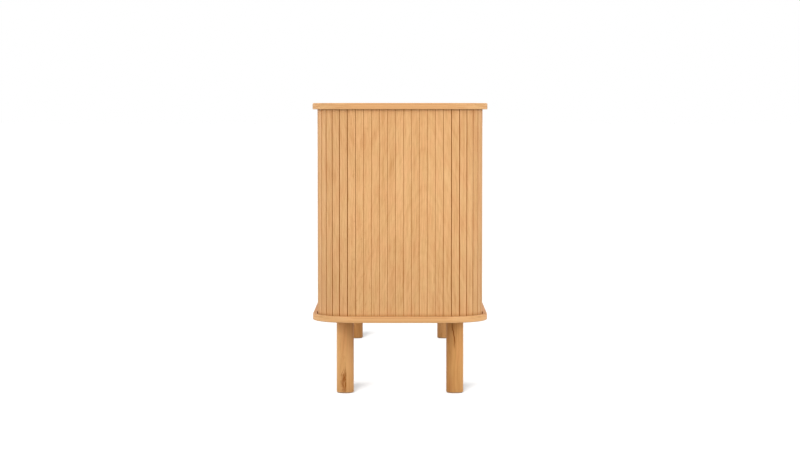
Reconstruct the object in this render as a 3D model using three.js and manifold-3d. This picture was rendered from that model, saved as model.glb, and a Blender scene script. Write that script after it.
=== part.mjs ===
// A long oak sideboard with slatted ends and two slatted sliding doors.
// Millimetres, +Z up. X runs along the sideboard, the doors face -Y, and the origin is on the floor
// under its middle.

import * as THREE from "three";
import { mergeVertices } from "three/addons/utils/BufferGeometryUtils.js";
import Module from "manifold-3d";

// Overall size
const LENGTH = 1800;
const DEPTH = 450;
const HEIGHT = 760;

// Top and base boards
const SLAB_THICKNESS = 16;
const SLAB_OVERHANG = 12.5;
const SLAB_EDGE_RADIUS = 2.5;

// Slatted sheets
const SLAT_PITCH = 20.2;
const SLAT_THICKNESS = 5;
const BACKING_THICKNESS = 1.2;
const SLAT_ROOT_GAP = 0.5;
const SLAT_FACE_GAP = 1;
const BEND_RADIUS = 96;
const FRONT_TAIL = 15;
const REAR_TAIL = 12;

// Legs
const LEG_HEIGHT = 202;
const LEG_RADIUS = 22.5;
const LEG_EDGE_RADIUS = 1.5;
const LEG_INSET_X = 200;
const LEG_INSET_Y = 81;
const PAD_RADIUS = 20.5;
const PAD_THICKNESS = 2;
const BOLT_RADIUS = 4;
const BOLT_REACH = 45;
const BOLT_HEAD_RADIUS = 10;
const BOLT_HEAD_THICKNESS = 2.5;
const BOLT_BORE_EXTRA_DEPTH = 5;

// Boards of the body
const WALL_THICKNESS = 18;
const SIDE_THICKNESS = 16;
const DIVIDER_THICKNESS = 16;
const BACK_THICKNESS = 6;
const SHELF_THICKNESS = 16;
const SHELF_UNDERSIDE = 470;
const SHELF_END_GAP = 2.5;
const SHELF_FRONT_SETBACK = 12;
const REAR_LAP = 16;

// Shelf pins and the rows of holes that they sit in
const PIN_RADIUS = 2.5;
const PIN_SHANK = 6.5;
const PIN_PEG = 9;
const PIN_FLANGE_RADIUS = 4.5;
const PIN_FLANGE_THICKNESS = 1.5;
const PIN_INSET = 50;
const PIN_STEP = 64;

// Grooves in the two slabs
const GROOVE_DEPTH = 4;
const GROOVE_OUTER_GAP = 2;

// Doors
const DOOR_CORE_THICKNESS = 9;
const DOOR_DIP = 2;
const DOOR_PAST_MIDDLE = 21;
const DOOR_END_GAP = 1.5;
const DOOR_STOP_GAP = 2;
const DOOR_SPACING = 4;
const DOOR_CHANNEL_GAP = 1;
const STILE_WIDTH = 22;
const PULL_WIDTH = 13;
const PULL_HEIGHT = 150;
const PULL_DEPTH = 9;

// Rails, rollers and top guides
const RAIL_WIDTH = 7;
const RAIL_HEIGHT = 5;
const RAIL_WALL = 1;
const WHEEL_RADIUS = 9.5;
const WHEEL_WIDTH = 4;
const AXLE_RADIUS = 1.5;
const AXLE_LENGTH = 8;
const CARRIAGE_LENGTH = 42;
const CARRIAGE_HEIGHT = 24;
const CARRIAGE_INSET = 60;
const WHEEL_ROOM = 1;
const GUIDE_LENGTH = 36;
const GUIDE_HEIGHT = 12;
const GUIDE_TONGUE_LENGTH = 26;
const GUIDE_TONGUE_WIDTH = 3.6;
const GUIDE_TIP_GAP = 1;

// Clearances: between fixed neighbours, round a turning axle or a bolt, and past a cut's far side
const FIT = 0.3;
const RUNNING = 0.15;
const BORE_ROOM = 0.5;
const OVERRUN = 1;
const WELD = 0.0001;

// How finely round shapes are divided
const BEND_STEPS = 10;
const EDGE_STEPS = 2;
const LEG_SIDES = 24;
const WHEEL_SIDES = 16;
const SMALL_SIDES = 12;
const PIN_SIDES = 8;
const PULL_STEPS = 6;

// Levels
const baseTop = LEG_HEIGHT + SLAB_THICKNESS;
const topUnderside = HEIGHT - SLAB_THICKNESS;
const wallBottom = baseTop + FIT;
const wallTop = topUnderside - FIT;
const channelFloor = baseTop - GROOVE_DEPTH;
const channelCeiling = topUnderside + GROOVE_DEPTH;
const sheetBottom = channelFloor + FIT;
const sheetTop = channelCeiling - FIT;
const doorBottom = baseTop - DOOR_DIP;
const doorTop = topUnderside + DOOR_DIP;
const railBottom = channelFloor - RAIL_HEIGHT;
const railTop = channelCeiling + RAIL_HEIGHT;
const wheelCentre = railBottom + RAIL_WALL + FIT + WHEEL_RADIUS;

// Plan of the slatted ends: the slats' outer face, and the centres of the bends
const faceX = LENGTH / 2 - SLAB_OVERHANG;
const faceY = DEPTH / 2 - SLAB_OVERHANG;
const bendX = faceX - BEND_RADIUS;
const bendY = faceY - BEND_RADIUS;
const sheetThickness = SLAT_THICKNESS + BACKING_THICKNESS;
const rootRadius = BEND_RADIUS - SLAT_THICKNESS;
const bendLength = (rootRadius * Math.PI) / 2;
const endRun = 2 * (bendY + bendLength) + FRONT_TAIL + REAR_TAIL;
const endSlats = Math.round(endRun / SLAT_PITCH);
const endPitch = endRun / endSlats;
const bendSag = rootRadius * (1 - Math.cos(endPitch / (2 * rootRadius)));
const sheetRoom = sheetThickness + bendSag + FIT;
const wallX = faceX - sheetRoom;
const wallY = faceY - sheetRoom;
const sheetRearX = bendX - REAR_TAIL;

// Plan of the inside
const sideOuterX = bendX - FIT;
const sideInnerX = sideOuterX - SIDE_THICKNESS;
const sideReachY = wallY - WALL_THICKNESS - FIT;
const backInnerY = wallY + FIT;
const bayDepthY = backInnerY - FIT;

// Doors, as distances from the middle and from the slats' outer face
const doorThickness = sheetThickness + FIT + DOOR_CORE_THICKNESS;
const outerDoorY = -faceY;
const innerDoorY = outerDoorY + doorThickness + DOOR_SPACING;
const doorOuterX = sideInnerX - DOOR_END_GAP;
const doorWidth = doorOuterX + DOOR_PAST_MIDDLE;
const doorRun = doorWidth - STILE_WIDTH - FIT;
const doorSlats = Math.round(doorRun / SLAT_PITCH);
const doorPitch = doorRun / doorSlats;
const doorsBackY = innerDoorY + doorThickness;
const bayFrontY = doorsBackY + DOOR_STOP_GAP;

const shelfFrontY = bayFrontY + SHELF_FRONT_SETBACK;
const shelfRearY = sideReachY - FIT;
const pinLevel = SHELF_UNDERSIDE - FIT - PIN_RADIUS;
const pinHoleLevels = [-1, 0, 1];

const legX = LENGTH / 2 - LEG_INSET_X;
const legY = DEPTH / 2 - LEG_INSET_Y;

const wasm = await Module();
wasm.setup();

// Materials
function finish(color, roughness, metalness = 0) {
  return new THREE.MeshStandardMaterial({ color, roughness, metalness });
}
const oakVeneer = finish(0xdfae79, 0.55);
const oakSolid = finish(0xc98f55, 0.5);
const oakPanel = finish(0xd9b183, 0.6);
const plywood = finish(0xcfae82, 0.7);
const aluminium = finish(0xb9bbbd, 0.35, 1);
const steel = finish(0x9a9c9f, 0.3, 1);
const nylon = finish(0x2b2b2c, 0.5);
const feltPad = finish(0x4a3a2c, 0.9);

// Solids
function solidOf(geometry) {
  const bare = geometry.index ? geometry.toNonIndexed() : geometry.clone();
  bare.deleteAttribute("normal");
  bare.deleteAttribute("uv");
  const merged = mergeVertices(bare, WELD);
  return new wasm.Manifold(
    new wasm.Mesh({
      numProp: 3,
      vertProperties: merged.attributes.position.array,
      triVerts: new Uint32Array(merged.index.array),
    }),
  );
}

function geometryOf(solid) {
  const mesh = solid.getMesh();
  const geometry = new THREE.BufferGeometry();
  geometry.setAttribute("position", new THREE.BufferAttribute(mesh.vertProperties, mesh.numProp));
  geometry.setIndex(new THREE.BufferAttribute(mesh.triVerts, 1));
  return geometry;
}

function cut(geometry, tools) {
  const left = tools.reduce((solid, tool) => solid.subtract(solidOf(tool)), solidOf(geometry));
  return geometryOf(left);
}

function joined(geometries) {
  const [first, ...others] = geometries.map(solidOf);
  return geometryOf(others.reduce((solid, other) => solid.add(other), first));
}

// A box between two corners
function block([x0, x1], [y0, y1], [z0, z1]) {
  const geometry = new THREE.BoxGeometry(x1 - x0, y1 - y0, z1 - z0);
  return geometry.translate((x0 + x1) / 2, (y0 + y1) / 2, (z0 + z1) / 2);
}

// A plan outline raised between two levels
function raised(shape, [z0, z1]) {
  const depth = z1 - z0;
  const geometry = new THREE.ExtrudeGeometry(shape, {
    depth,
    bevelEnabled: false,
    curveSegments: BEND_STEPS,
  });
  return geometry.translate(0, 0, z0);
}

// A section in Y and Z drawn out along X
function alongX(shape, [x0, x1]) {
  const geometry = raised(shape, [x0, x1]);
  const turn = new THREE.Matrix4().makeBasis(
    new THREE.Vector3(0, 1, 0),
    new THREE.Vector3(0, 0, 1),
    new THREE.Vector3(1, 0, 0),
  );
  return geometry.applyMatrix4(turn);
}

// An outline of [radius, height] points turned about Z
function turned(profile, sides) {
  const points = profile.map(([radius, height]) => new THREE.Vector2(radius, height));
  return new THREE.LatheGeometry(points, sides).rotateX(Math.PI / 2);
}

function rod(radius, [z0, z1], sides) {
  return turned([[0, z0], [radius, z0], [radius, z1], [0, z1]], sides);
}

function outline(points) {
  return new THREE.Shape(points.map(([x, y]) => new THREE.Vector2(x, y)));
}

// A rectangle about the middle with round corners
function roundedRectangle(halfX, halfY, radius) {
  const x = halfX - radius;
  const y = halfY - radius;
  const quarter = Math.PI / 2;
  const shape = new THREE.Shape();
  shape.absarc(x, y, radius, 0, quarter);
  shape.absarc(-x, y, radius, quarter, 2 * quarter);
  shape.absarc(-x, -y, radius, 2 * quarter, 3 * quarter);
  shape.absarc(x, -y, radius, 3 * quarter, 4 * quarter);
  return shape;
}

// Slatted sheets

// The point on the slats' root line that lies a distance round the end from its middle
function rootPoint(run) {
  const side = Math.sign(run);
  const length = Math.abs(run);
  if (length <= bendY) {
    return [faceX - SLAT_THICKNESS, run];
  }
  if (length >= bendY + bendLength) {
    return [bendX - (length - bendY - bendLength), side * (faceY - SLAT_THICKNESS)];
  }
  const turn = (length - bendY) / rootRadius;
  return [bendX + rootRadius * Math.cos(turn), side * (bendY + rootRadius * Math.sin(turn))];
}

// The plan of a sheet whose slats meet at the given seams. They stand out to the right of the way
// from the first seam to the last, on a backing that runs on behind them.
function sheetOutline(seams) {
  const faces = [];
  const backs = [];
  for (let i = 1; i < seams.length; i += 1) {
    const from = new THREE.Vector2(...seams[i - 1]);
    const to = new THREE.Vector2(...seams[i]);
    const width = from.distanceTo(to);
    const along = to.clone().sub(from).normalize();
    const out = new THREE.Vector2(along.y, -along.x);
    const middle = from.add(to).multiplyScalar(1 / 2);
    const at = (sideways, outward) => [
      middle.x + along.x * sideways + out.x * outward,
      middle.y + along.y * sideways + out.y * outward,
    ];
    const root = (width - SLAT_ROOT_GAP) / 2;
    const face = (width - SLAT_FACE_GAP) / 2;
    faces.push(at(-root, 0), at(-face, SLAT_THICKNESS), at(face, SLAT_THICKNESS), at(root, 0));
    backs.push(at(-root, -BACKING_THICKNESS));
    if (i === seams.length - 1) {
      backs.push(at(root, -BACKING_THICKNESS));
    }
  }
  return outline([...faces, ...backs.reverse()]);
}

// The slats that wrap one end, on the right for a side of 1 and on the left for -1
function endSheet(side) {
  const start = -(bendY + bendLength + FRONT_TAIL);
  const seams = [];
  for (let i = 0; i <= endSlats; i += 1) {
    seams.push(rootPoint(start + i * endPitch));
  }
  return mirrored(raised(sheetOutline(seams), [sheetBottom, sheetTop]), side, 1);
}

// Top and base boards

function slab(z0) {
  const edge = SLAB_EDGE_RADIUS;
  const radius = BEND_RADIUS + SLAB_OVERHANG - edge;
  const shape = roundedRectangle(LENGTH / 2 - edge, DEPTH / 2 - edge, radius);
  const geometry = new THREE.ExtrudeGeometry(shape, {
    depth: SLAB_THICKNESS - 2 * edge,
    bevelThickness: edge,
    bevelSize: edge,
    bevelSegments: EDGE_STEPS,
    curveSegments: BEND_STEPS,
  });
  return geometry.translate(0, 0, z0 + edge);
}

// The groove that the slats and the back stand in, all the way round
function ringGroove(levels) {
  const outer = GROOVE_OUTER_GAP;
  const inner = sheetRoom;
  const shape = roundedRectangle(faceX + outer, faceY + outer, BEND_RADIUS + outer);
  shape.holes.push(roundedRectangle(faceX - inner, faceY - inner, BEND_RADIUS - inner));
  return raised(shape, levels);
}

// One door's running channel, and the narrow slot for its rail in the channel's floor
function doorChannel(doorY, levels) {
  const reach = sideInnerX - FIT;
  const gap = DOOR_CHANNEL_GAP;
  return block([-reach, reach], [doorY - gap, doorY + doorThickness + gap], levels);
}

function railSlot(doorY, levels) {
  const reach = sideInnerX - FIT;
  const middle = railMiddle(doorY);
  const half = RAIL_WIDTH / 2 + FIT;
  return block([-reach, reach], [middle - half, middle + half], levels);
}

function railMiddle(doorY) {
  return doorY + sheetThickness + FIT + DOOR_CORE_THICKNESS / 2;
}

function baseSlab() {
  const channel = [channelFloor, baseTop + OVERRUN];
  const slot = [railBottom - FIT, baseTop];
  const tools = [ringGroove(channel)];
  for (const doorY of [outerDoorY, innerDoorY]) {
    tools.push(doorChannel(doorY, channel), railSlot(doorY, slot));
  }
  const headSeat = [baseTop - BOLT_HEAD_THICKNESS - FIT, baseTop + OVERRUN];
  const through = [LEG_HEIGHT - OVERRUN, baseTop];
  for (const [x, y] of legPlaces()) {
    tools.push(rod(BOLT_HEAD_RADIUS + BORE_ROOM, headSeat, SMALL_SIDES).translate(x, y, 0));
    tools.push(rod(BOLT_RADIUS + BORE_ROOM, through, SMALL_SIDES).translate(x, y, 0));
  }
  return cut(slab(LEG_HEIGHT), tools);
}

function topSlab() {
  const channel = [topUnderside - OVERRUN, channelCeiling];
  const slot = [topUnderside, railTop + FIT];
  const tools = [ringGroove(channel)];
  for (const doorY of [outerDoorY, innerDoorY]) {
    tools.push(doorChannel(doorY, channel), railSlot(doorY, slot));
  }
  return cut(slab(topUnderside), tools);
}

// Body

// The bent board behind the slats of one corner, with a flat tail along the front or the back
function cornerForm(sideX, sideY) {
  const outer = BEND_RADIUS - sheetRoom;
  const inner = outer - WALL_THICKNESS;
  const tailX = sideY < 0 ? sideInnerX : sideInnerX - REAR_LAP;
  const quarter = Math.PI / 2;
  const shape = new THREE.Shape();
  shape.moveTo(bendX + inner, bendY);
  shape.lineTo(bendX + outer, bendY);
  shape.absarc(bendX, bendY, outer, 0, quarter);
  shape.lineTo(tailX, wallY);
  shape.lineTo(tailX, wallY - WALL_THICKNESS);
  shape.absarc(bendX, bendY, inner, quarter, 0, true);
  const geometry = raised(shape, [wallBottom, wallTop]);
  return mirrored(geometry, sideX, sideY);
}

// A geometry turned over to the other side in X, in Y or in both
function mirrored(geometry, sideX, sideY) {
  const solid = solidOf(geometry).transform([sideX, 0, 0, 0, 0, sideY, 0, 0, 0, 0, 1, 0, 0, 0, 0, 1]);
  return geometryOf(solid);
}

function endPanel(side) {
  const reach = bendY - FIT;
  const panel = block([wallX - WALL_THICKNESS, wallX], [-reach, reach], [wallBottom, wallTop]);
  return mirrored(panel, side, 1);
}

// The places of the pin holes in a board that faces along X, as [y, z]
function pinPlaces(levels) {
  return levels.flatMap((level) => [
    [shelfFrontY + PIN_INSET, pinLevel + level * PIN_STEP],
    [shelfRearY - PIN_INSET, pinLevel + level * PIN_STEP],
  ]);
}

// Blind pin holes that open at openX towards the given side
function pinHoles(openX, side) {
  const depth = PIN_SHANK + FIT;
  return pinPlaces(pinHoleLevels).map(([y, z]) => {
    const hole = rod(PIN_RADIUS + BORE_ROOM, [-depth, OVERRUN], PIN_SIDES);
    return hole.rotateY((side * Math.PI) / 2).translate(openX, y, z);
  });
}

function innerSide(side) {
  const board = block([sideInnerX, sideOuterX], [-sideReachY, sideReachY], [wallBottom, wallTop]);
  return mirrored(cut(board, pinHoles(sideInnerX, -1)), side, 1);
}

function divider() {
  const half = DIVIDER_THICKNESS / 2;
  const board = block([-half, half], [bayFrontY, bayDepthY], [wallBottom, wallTop]);
  return cut(board, [...pinHoles(half, 1), ...pinHoles(-half, -1)]);
}

function backPanel() {
  const reach = sheetRearX - FIT;
  return block([-reach, reach], [backInnerY, backInnerY + BACK_THICKNESS], [sheetBottom, sheetTop]);
}

function shelf(side) {
  const inner = DIVIDER_THICKNESS / 2 + SHELF_END_GAP;
  const outer = sideInnerX - SHELF_END_GAP;
  const levels = [SHELF_UNDERSIDE, SHELF_UNDERSIDE + SHELF_THICKNESS];
  const board = block([inner, outer], [shelfFrontY, shelfRearY], levels);
  return mirrored(board, side, 1);
}

// A shelf pin whose shank is in the board at openX and whose peg points towards the given side
function shelfPin(openX, side) {
  const flangeEnd = FIT + PIN_FLANGE_THICKNESS;
  const profile = [
    [0, -PIN_SHANK],
    [PIN_RADIUS, -PIN_SHANK],
    [PIN_RADIUS, FIT],
    [PIN_FLANGE_RADIUS, FIT],
    [PIN_FLANGE_RADIUS, flangeEnd],
    [PIN_RADIUS, flangeEnd],
    [PIN_RADIUS, flangeEnd + PIN_PEG],
    [0, flangeEnd + PIN_PEG],
  ];
  return turned(profile, PIN_SIDES).rotateY((side * Math.PI) / 2).translate(openX, 0, 0);
}

// Legs

function legPlaces() {
  return [[-legX, -legY], [legX, -legY], [-legX, legY], [legX, legY]];
}

function leg() {
  const bottom = PAD_THICKNESS + FIT;
  const top = LEG_HEIGHT - FIT;
  const bore = BOLT_RADIUS + BORE_ROOM;
  const boreEnd = LEG_HEIGHT - BOLT_REACH - BOLT_BORE_EXTRA_DEPTH;
  return turned(
    [
      [0, bottom],
      [LEG_RADIUS - LEG_EDGE_RADIUS, bottom],
      [LEG_RADIUS, bottom + LEG_EDGE_RADIUS],
      [LEG_RADIUS, top],
      [bore, top],
      [bore, boreEnd],
      [0, boreEnd],
    ],
    LEG_SIDES,
  );
}

function legBolt() {
  const headTop = baseTop;
  const headBottom = baseTop - BOLT_HEAD_THICKNESS;
  return turned(
    [
      [0, LEG_HEIGHT - BOLT_REACH],
      [BOLT_RADIUS, LEG_HEIGHT - BOLT_REACH],
      [BOLT_RADIUS, headBottom],
      [BOLT_HEAD_RADIUS, headBottom],
      [BOLT_HEAD_RADIUS, headTop],
      [0, headTop],
    ],
    SMALL_SIDES,
  );
}

// Doors, made for the left side and mirrored for the right

function doorSheet(doorY) {
  const start = -doorOuterX + STILE_WIDTH + FIT;
  const seams = [];
  for (let i = 0; i <= doorSlats; i += 1) {
    seams.push([start + i * doorPitch, doorY + SLAT_THICKNESS]);
  }
  return raised(sheetOutline(seams), [doorBottom, doorTop]);
}

// The flat strip at the door's outer edge, with a long finger hollow
function doorStile(doorY) {
  const x0 = -doorOuterX;
  const strip = block([x0, x0 + STILE_WIDTH], [doorY, doorY + doorThickness], [doorBottom, doorTop]);
  const radius = PULL_WIDTH / 2;
  const straight = PULL_HEIGHT / 2 - radius;
  const hollow = new THREE.Shape();
  hollow.absarc(0, straight, radius, 0, Math.PI);
  hollow.absarc(0, -straight, radius, Math.PI, 2 * Math.PI);
  const tool = new THREE.ExtrudeGeometry(hollow, {
    depth: PULL_DEPTH + OVERRUN,
    bevelEnabled: false,
    curveSegments: PULL_STEPS,
  });
  tool.rotateX(Math.PI / 2);
  tool.translate(x0 + STILE_WIDTH / 2, doorY + PULL_DEPTH, (doorBottom + doorTop) / 2);
  return cut(strip, [tool]);
}

// The middles of the two rollers and guides of a door, along X
function runnerPlaces() {
  const first = -doorOuterX + STILE_WIDTH + CARRIAGE_INSET;
  const last = -doorOuterX + doorWidth - CARRIAGE_INSET;
  return [first, last];
}

function coreLevels(doorY) {
  const front = doorY + sheetThickness + FIT;
  return [front, front + DOOR_CORE_THICKNESS];
}

function doorCore(doorY) {
  const [front, back] = coreLevels(doorY);
  const x0 = -doorOuterX + STILE_WIDTH + FIT;
  const core = block([x0, -doorOuterX + doorWidth], [front, back], [doorBottom, doorTop]);
  const through = [front - OVERRUN, back + OVERRUN];
  const notches = runnerPlaces().flatMap((x) => [
    block(around(x, CARRIAGE_LENGTH + 2 * FIT), through, [
      doorBottom - OVERRUN,
      doorBottom + CARRIAGE_HEIGHT + FIT,
    ]),
    block(around(x, GUIDE_LENGTH + 2 * FIT), through, [doorTop - GUIDE_HEIGHT - FIT, doorTop + OVERRUN]),
  ]);
  return cut(core, notches);
}

function around(middle, width) {
  return [middle - width / 2, middle + width / 2];
}

// The roller's housing, which sits in the lower edge of the door
function carriage(doorY, x) {
  const middle = railMiddle(doorY);
  const housing = block(around(x, CARRIAGE_LENGTH), coreLevels(doorY), [
    doorBottom,
    doorBottom + CARRIAGE_HEIGHT,
  ]);
  const room = block(around(x, 2 * (WHEEL_RADIUS + WHEEL_ROOM)), around(middle, WHEEL_WIDTH + WHEEL_ROOM), [
    doorBottom - OVERRUN,
    wheelCentre + WHEEL_RADIUS + WHEEL_ROOM,
  ]);
  const half = DOOR_CORE_THICKNESS / 2 + OVERRUN;
  const bore = rod(AXLE_RADIUS + RUNNING, [-half, half], SMALL_SIDES);
  bore.rotateX(Math.PI / 2).translate(x, middle, wheelCentre);
  return cut(housing, [room, bore]);
}

// A roller and its axle in one, turning about Y
function wheel(doorY, x) {
  const halfAxle = AXLE_LENGTH / 2;
  const halfWidth = WHEEL_WIDTH / 2;
  const profile = [
    [0, -halfAxle],
    [AXLE_RADIUS, -halfAxle],
    [AXLE_RADIUS, -halfWidth],
    [WHEEL_RADIUS, -halfWidth],
    [WHEEL_RADIUS, halfWidth],
    [AXLE_RADIUS, halfWidth],
    [AXLE_RADIUS, halfAxle],
    [0, halfAxle],
  ];
  return turned(profile, WHEEL_SIDES).rotateX(Math.PI / 2).translate(x, railMiddle(doorY), wheelCentre);
}

function topGuide(doorY, x) {
  const tip = railTop - RAIL_WALL - GUIDE_TIP_GAP;
  const middle = railMiddle(doorY);
  const seat = block(around(x, GUIDE_LENGTH), coreLevels(doorY), [doorTop - GUIDE_HEIGHT, doorTop]);
  const tongue = block(around(x, GUIDE_TONGUE_LENGTH), around(middle, GUIDE_TONGUE_WIDTH), [
    doorTop - GUIDE_HEIGHT / 2,
    tip,
  ]);
  return joined([seat, tongue]);
}

// A U-shaped rail whose web lies at one level and whose lips end at another
function rail(doorY, web, lips) {
  const middle = railMiddle(doorY);
  const half = RAIL_WIDTH / 2;
  const inside = half - RAIL_WALL;
  const floor = web + Math.sign(lips - web) * RAIL_WALL;
  const reach = sideInnerX - 2 * FIT;
  const section = outline([
    [middle - half, web],
    [middle + half, web],
    [middle + half, lips],
    [middle + inside, lips],
    [middle + inside, floor],
    [middle - inside, floor],
    [middle - inside, lips],
    [middle - half, lips],
  ]);
  return alongX(section, [-reach, reach]);
}

// Assembly

const sideboard = new THREE.Group();

function add(group, name, geometry, material) {
  const mesh = new THREE.Mesh(geometry, material);
  mesh.name = name;
  group.add(mesh);
  return mesh;
}

add(sideboard, "top_slab", topSlab(), oakVeneer);
add(sideboard, "base_slab", baseSlab(), oakVeneer);
add(sideboard, "back_panel", backPanel(), oakVeneer);
add(sideboard, "centre_divider", divider(), oakPanel);

function addEnd(name, side) {
  const end = new THREE.Group();
  add(end, `${name}_end_slats`, endSheet(side), oakVeneer);
  add(end, `${name}_end_panel`, endPanel(side), plywood);
  add(end, `${name}_inner_side`, innerSide(side), oakPanel);
  add(end, `${name}_front_corner_form`, cornerForm(side, -1), plywood);
  add(end, `${name}_rear_corner_form`, cornerForm(side, 1), plywood);
  sideboard.add(end);
}

function addShelf(name, side) {
  const bay = new THREE.Group();
  add(bay, `${name}_shelf`, shelf(side), oakPanel);
  const half = DIVIDER_THICKNESS / 2;
  const places = pinPlaces([0]);
  const rows = [
    ["outer", side * sideInnerX, -side],
    ["inner", side * half, side],
  ];
  for (const [row, openX, towards] of rows) {
    places.forEach(([y, z], i) => {
      const pin = add(bay, `${name}_shelf_pin_${row}_${i + 1}`, shelfPin(openX, towards), steel);
      pin.position.set(0, y, z);
    });
  }
  sideboard.add(bay);
}

function addLegs() {
  const names = ["front_left", "front_right", "rear_left", "rear_right"];
  legPlaces().forEach(([x, y], i) => {
    const corner = new THREE.Group();
    add(corner, `${names[i]}_leg`, leg(), oakSolid);
    add(corner, `${names[i]}_leg_bolt`, legBolt(), steel);
    add(corner, `${names[i]}_foot_pad`, rod(PAD_RADIUS, [0, PAD_THICKNESS], LEG_SIDES), feltPad);
    corner.position.set(x, y, 0);
    sideboard.add(corner);
  });
}

function addRails() {
  const tracks = [
    ["outer", outerDoorY],
    ["inner", innerDoorY],
  ];
  for (const [name, doorY] of tracks) {
    add(sideboard, `lower_${name}_rail`, rail(doorY, railBottom, channelFloor), aluminium);
    add(sideboard, `upper_${name}_rail`, rail(doorY, railTop, channelCeiling), aluminium);
  }
}

function addDoor(name, side, doorY) {
  const door = new THREE.Group();
  const handed = (geometry) => mirrored(geometry, -side, 1);
  add(door, `${name}_door_slats`, handed(doorSheet(doorY)), oakVeneer);
  add(door, `${name}_door_core`, handed(doorCore(doorY)), oakPanel);
  add(door, `${name}_door_stile`, handed(doorStile(doorY)), oakSolid);
  runnerPlaces().forEach((x, i) => {
    add(door, `${name}_door_carriage_${i + 1}`, handed(carriage(doorY, x)), nylon);
    add(door, `${name}_door_wheel_${i + 1}`, handed(wheel(doorY, x)), nylon);
    add(door, `${name}_door_top_guide_${i + 1}`, handed(topGuide(doorY, x)), nylon);
  });
  sideboard.add(door);
}

addEnd("left", -1);
addEnd("right", 1);
addShelf("left", -1);
addShelf("right", 1);
addLegs();
addRails();
addDoor("left", -1, outerDoorY);
addDoor("right", 1, innerDoorY);

export default sideboard;
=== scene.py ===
"""A long oak sideboard with slatted ends and two slatted sliding doors, on round legs."""

import math
import random

import bmesh
import bpy
from mathutils import Matrix, Vector

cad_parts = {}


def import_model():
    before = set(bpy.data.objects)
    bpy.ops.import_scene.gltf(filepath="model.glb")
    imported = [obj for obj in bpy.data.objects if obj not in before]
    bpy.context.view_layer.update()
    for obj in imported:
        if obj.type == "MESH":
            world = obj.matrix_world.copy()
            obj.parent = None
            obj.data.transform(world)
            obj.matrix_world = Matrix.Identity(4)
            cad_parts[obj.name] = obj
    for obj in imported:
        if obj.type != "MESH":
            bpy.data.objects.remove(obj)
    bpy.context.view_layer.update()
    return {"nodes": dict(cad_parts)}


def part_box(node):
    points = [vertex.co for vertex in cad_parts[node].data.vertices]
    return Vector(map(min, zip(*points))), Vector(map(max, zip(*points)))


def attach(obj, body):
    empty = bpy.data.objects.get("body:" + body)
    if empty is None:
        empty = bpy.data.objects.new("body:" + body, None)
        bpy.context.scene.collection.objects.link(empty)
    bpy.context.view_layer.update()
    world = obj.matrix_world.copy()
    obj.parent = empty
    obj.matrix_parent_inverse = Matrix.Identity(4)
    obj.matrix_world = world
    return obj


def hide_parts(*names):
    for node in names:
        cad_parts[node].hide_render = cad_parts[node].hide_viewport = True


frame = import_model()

# Millimetre, so that small sizes read as they do on a drawing
MM = 0.001

# Joining of points, and the turn in degrees past which an edge stays crisp
WELD = 0.01 * MM
CAD_WELD = 0.02 * MM
CRISP_TURN = 35
SLAT_CRISP_TURN = 25

# How far a face's direction has to lean one way to count as a side, a rim or a level face
SIDE_FACING = 0.3
RIM_FACING = 0.8
LEVEL_FACING = 0.9

# Slatted sheets
SLAT_PITCH = 20.2 * MM
SLAT_THICKNESS = 5 * MM
BACKING_THICKNESS = 1.2 * MM
ROOT_GAP = 0.25 * MM
FACE_GAP = 0.42 * MM
SLAT_EDGE = 0.28 * MM
SLAT_EDGE_STEPS = 2
BEND_RADIUS = 96 * MM
BEND_STEPS = 24
BACKING_STEPS = 4

# Boards
BOARD_EDGE = 2.5 * MM
BOARD_EDGE_STEPS = 5
GROOVED_EDGE = 1.2 * MM
GROOVE_DEPTH = 4 * MM
GROOVE_OUTER_GAP = 2.7 * MM
CHANNEL_GAP = 1 * MM
PANEL_EDGE = 0.4 * MM
PANEL_EDGE_STEPS = 2
PANEL_EDGE_TURN = 40
FLAT_TURN = 1
FIT = 0.3 * MM

# Legs, and the bolt that holds each one
LEG_SIDES = 72
LEG_EDGE = 0.5 * MM
LEG_EDGE_STEPS = 3
BOLT_SIDES = 36
BOLT_SHANK_RADIUS = 4 * MM
BOLT_HEAD_THICKNESS = 2.5 * MM
BOLT_EDGE = 0.6 * MM
SOCKET_SIDES = 6
SOCKET_RADIUS = 3.4 * MM
SOCKET_DEPTH = 1.8 * MM

# Shelf pins
PIN_SIDES = 28
PIN_RADIUS = 2.5 * MM
PIN_SHANK = 6.5 * MM
PIN_FLANGE_RADIUS = 4.5 * MM
PIN_FLANGE_THICKNESS = 1.5 * MM
PIN_EDGE = 0.4 * MM

# Camera, fitted to the photograph: it looks along the sideboard at its near end from far away,
# tilted down by some degrees
CAMERA_DISTANCE = 5.5785
CAMERA_REACH = 200
CAMERA_HEIGHT = 0.7398
CAMERA_TILT = 2.959
FOCAL_PIXELS = 2206.5
IMAGE_WIDTH = 800
SENSOR_WIDTH = 36

# Light of the world, and the points that the lamps face
WHITE = (1, 1, 1, 1)
HORIZON_LIGHT = 1.45
ZENITH_LIGHT = 0.55
NEAR_END = Vector((0.9, 0, 0.45))
LONG_FRONT = Vector((-0.3, 0, 0.45))

# Floor, and the sun that draws the legs' shade on it, with its angles in degrees
FLOOR_REACH = 120
FLOOR_TONE = (0.3, 0.3, 0.3, 1)
FLOOR_BOUNCE = (0.4, 0.39, 0.37, 1)
FLOOR_GLOW = 0.425
FLOOR_SUN = 6.5
FLOOR_SUN_WIDTH = 15
FLOOR_SUN_TILT = 44
FLOOR_SUN_TURN = -8.5

nodes = frame["nodes"]


def width_of(node):
    low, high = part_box(node)
    return high - low


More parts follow.
